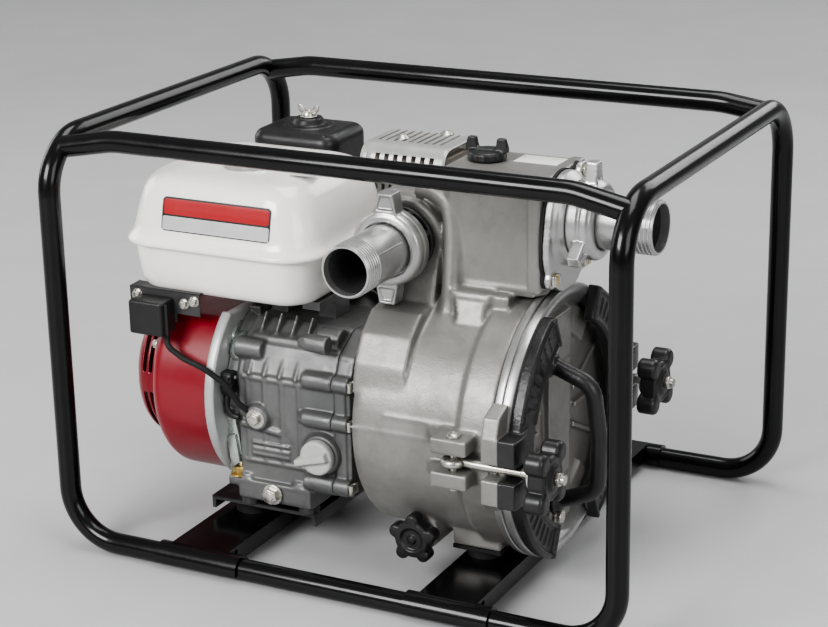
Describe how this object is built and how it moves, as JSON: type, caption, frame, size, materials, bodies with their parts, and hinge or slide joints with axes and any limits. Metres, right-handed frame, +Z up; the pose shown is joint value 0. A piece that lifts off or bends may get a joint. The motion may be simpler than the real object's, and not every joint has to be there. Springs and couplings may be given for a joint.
{
  "type": "gas engine trash pump",
  "caption": "Petrol-engine trash pump in a black tubular roll frame: red recoil cover, white tank, cast aluminium casing with swing-clamp cover and hose nipples.",
  "frame": {"origin": "centre of the rectangle the tube frame stands on, at floor level", "axes": "+X along the crankshaft from the engine to the suction end, +Y away from the side with the discharge nipple, +Z up"},
  "size_m": [0.63, 0.481, 0.442],
  "materials": {
    "frame_paint": "gloss black powder coat on steel tube",
    "bracket_paint": "satin black paint on pressed steel",
    "rubber_black": "moulded black rubber",
    "engine_casting": "die-cast aluminium, grey engine paint",
    "pump_casting": "sand-cast aluminium, silver, satin",
    "machined_aluminium": "turned and die-cast aluminium, bright",
    "bearing_steel": "ground bearing steel",
    "forged_steel": "forged and ground steel",
    "iron_grey": "grey cast iron",
    "plastic_black": "black moulded plastic",
    "zinc_steel": "zinc plated steel",
    "red_paint": "satin red paint on pressed steel",
    "white_paint": "gloss white paint on pressed steel tank",
    "chrome_cap": "plated steel cap",
    "filter_foam": "dark foam over pleated paper",
    "muffler_steel": "heat-dulled aluminised steel",
    "guard_paint": "silver-grey heat resistant paint",
    "plastic_red": "red moulded plastic",
    "plastic_grey": "light grey moulded plastic",
    "black_casting": "satin black paint on rough casting"
  },
  "bodies": {
    "unit": {"air_cleaner_base": "plastic_black", "air_filter_element": "filter_foam", "bottom_rails": "frame_paint", "carburettor": "machined_aluminium", "casing_seals": "rubber_black", "cover_clamps": "black_casting", "cover_handle": "frame_paint", "crankcase": "engine_casting", "crankcase_side_cover": "engine_casting", "cross_channels": "frame_paint", "cylinder_head": "engine_casting", "discharge_port_adapter": "black_casting", "end_hoops": "frame_paint", "engine_bed": "bracket_paint", "fan_backplate": "zinc_steel", "fan_cover": "red_paint", "fuel_tank": "white_paint", "hex_bolts": "zinc_steel", "hose_nipples": "machined_aluminium", "ignition_coil": "plastic_black", "inner_volute": "iron_grey", "main_bearings": "bearing_steel", "mechanical_seal": "bearing_steel", "muffler": "muffler_steel", "muffler_guard": "guard_paint", "oil_drain_plug": "zinc_steel", "pump_casing": "pump_casting", "pump_cover": "pump_casting", "recoil_cover": "red_paint", "rocker_cover": "bracket_paint", "rubber_mounts": "rubber_black", "spark_plug": "rubber_black", "suction_valve_body": "machined_aluminium", "switch_box": "plastic_black", "switch_lead": "rubber_black", "tank_stays": "bracket_paint", "top_rails": "frame_paint"},
    "crank_train": {"crankshaft": "forged_steel", "flywheel": "iron_grey", "impeller": "iron_grey"},
    "cam": {"camshaft": "iron_grey"},
    "piston_body": {"piston": "machined_aluminium"},
    "recoil_pulley_body": {"recoil_pulley": "plastic_black"},
    "recoil_grip_body": {"recoil_grip": "plastic_black"},
    "fuel_cap_body": {"fuel_cap": "chrome_cap"},
    "priming_cap_body": {"priming_cap": "plastic_black"},
    "drain_cap_body": {"drain_cap": "plastic_black"},
    "oil_cap_body": {"oil_filler_cap": "plastic_grey"},
    "flap": {"check_valve_flap": "rubber_black"},
    "bolt_near": {"swing_bolt_near": "zinc_steel"},
    "bolt_far": {"swing_bolt_far": "zinc_steel"},
    "knob_near": {"clamp_knob_near": "plastic_black"},
    "knob_far": {"clamp_knob_far": "plastic_black"},
    "switch_lever_body": {"switch_lever": "plastic_red"},
    "choke": {"choke_lever": "zinc_steel"},
    "throttle": {"throttle_lever": "zinc_steel"},
    "air_cover": {"air_cleaner_cover": "plastic_black"},
    "wing_nut": {"air_cleaner_wing_nut": "zinc_steel"},
    "suction_ring": {"suction_coupling_ring": "machined_aluminium"},
    "discharge_ring": {"discharge_coupling_ring": "machined_aluminium"}
  },
  "joints": [
    {"name": "crank_spin", "type": "hinge", "parent": "unit", "child": "crank_train", "pos_m": [-0.05, -0.064, 0.159], "axis": [1, 0, 0], "continuous": true},
    {"name": "cam_spin", "type": "hinge", "parent": "unit", "child": "cam", "pos_m": [-0.05, -0.08429, 0.1155], "axis": [1, 0, 0], "continuous": true},
    {"name": "piston_slide", "type": "slide", "parent": "unit", "child": "piston_body", "axis": [0, -0.9063, -0.4226], "range_m": [0, 0.045]},
    {"name": "recoil_grip_pull", "type": "slide", "parent": "unit", "child": "recoil_grip_body", "axis": [0, 1, 0], "range_m": [0, 0.4], "stiffness_N_per_m": 20},
    {"name": "recoil_pulley_turn", "type": "hinge", "parent": "unit", "child": "recoil_pulley_body", "pos_m": [-0.25, -0.064, 0.159], "axis": [1, 0, 0], "range_deg": [-700, 0]},
    {"name": "fuel_cap_turn", "type": "hinge", "parent": "unit", "child": "fuel_cap_body", "pos_m": [-0.154, -0.084, 0.392], "axis": [0, 0, 1], "range_deg": [0, 90]},
    {"name": "priming_cap_turn", "type": "hinge", "parent": "unit", "child": "priming_cap_body", "pos_m": [0.091, -0.046, 0.415], "axis": [0, 0, 1], "range_deg": [0, 720]},
    {"name": "drain_cap_turn", "type": "hinge", "parent": "unit", "child": "drain_cap_body", "pos_m": [0.067, -0.17, 0.054], "axis": [0, -1, 0], "range_deg": [0, 720]},
    {"name": "oil_filler_cap_turn", "type": "hinge", "parent": "unit", "child": "oil_cap_body", "pos_m": [-0.045, -0.16, 0.117], "axis": [0, -1, 0], "range_deg": [0, 720]},
    {"name": "check_valve_swing", "type": "hinge", "parent": "unit", "child": "flap", "pos_m": [0.1787, -0.064, 0.396], "axis": [0, 1, 0], "range_deg": [0, 45]},
    {"name": "swing_bolt_near_swing", "type": "hinge", "parent": "unit", "child": "bolt_near", "pos_m": [0.129, -0.206, 0.159], "axis": [0, 0, 1], "range_deg": [-90, 0]},
    {"name": "swing_bolt_far_swing", "type": "hinge", "parent": "unit", "child": "bolt_far", "pos_m": [0.129, 0.078, 0.159], "axis": [0, 0, 1], "range_deg": [0, 90]},
    {"name": "clamp_knob_near_turn", "type": "hinge", "parent": "bolt_near", "child": "knob_near", "pos_m": [0.21, -0.206, 0.159], "axis": [1, 0, 0], "range_deg": [0, 720]},
    {"name": "clamp_knob_far_turn", "type": "hinge", "parent": "bolt_far", "child": "knob_far", "pos_m": [0.21, 0.078, 0.159], "axis": [1, 0, 0], "range_deg": [0, 720]},
    {"name": "engine_switch", "type": "hinge", "parent": "unit", "child": "switch_lever_body", "pos_m": [-0.243, -0.1695, 0.247], "axis": [0, 1, 0], "range_deg": [0, 35]},
    {"name": "choke_lever_turn", "type": "hinge", "parent": "unit", "child": "choke", "pos_m": [-0.183, 0.07263, 0.262], "axis": [0, 0, 1], "range_deg": [-45, 0]},
    {"name": "throttle_lever_turn", "type": "hinge", "parent": "unit", "child": "throttle", "pos_m": [-0.167, 0.06263, 0.262], "axis": [0, 0, 1], "range_deg": [0, 30]},
    {"name": "air_cleaner_cover_lift", "type": "slide", "parent": "unit", "child": "air_cover", "axis": [0, 0, 1], "range_m": [0, 0.06]},
    {"name": "wing_nut_turn", "type": "hinge", "parent": "air_cover", "child": "wing_nut", "pos_m": [-0.195, 0.103, 0.402], "axis": [0, 0, 1], "range_deg": [0, 720]},
    {"name": "suction_coupling_turn", "type": "hinge", "parent": "unit", "child": "suction_ring", "pos_m": [0.21, -0.064, 0.367], "axis": [1, 0, 0], "range_deg": [0, 360]},
    {"name": "discharge_coupling_turn", "type": "hinge", "parent": "unit", "child": "discharge_ring", "pos_m": [0.021, -0.12, 0.3335], "axis": [0, -1, 0], "range_deg": [0, 360]}
  ],
  "couplings": [
    {"joint": "cam_spin", "follows": "crank_spin", "ratio": -0.5},
    {"joint": "recoil_pulley_turn", "follows": "recoil_grip_pull", "rad_per_m": -29.412}
  ]
}
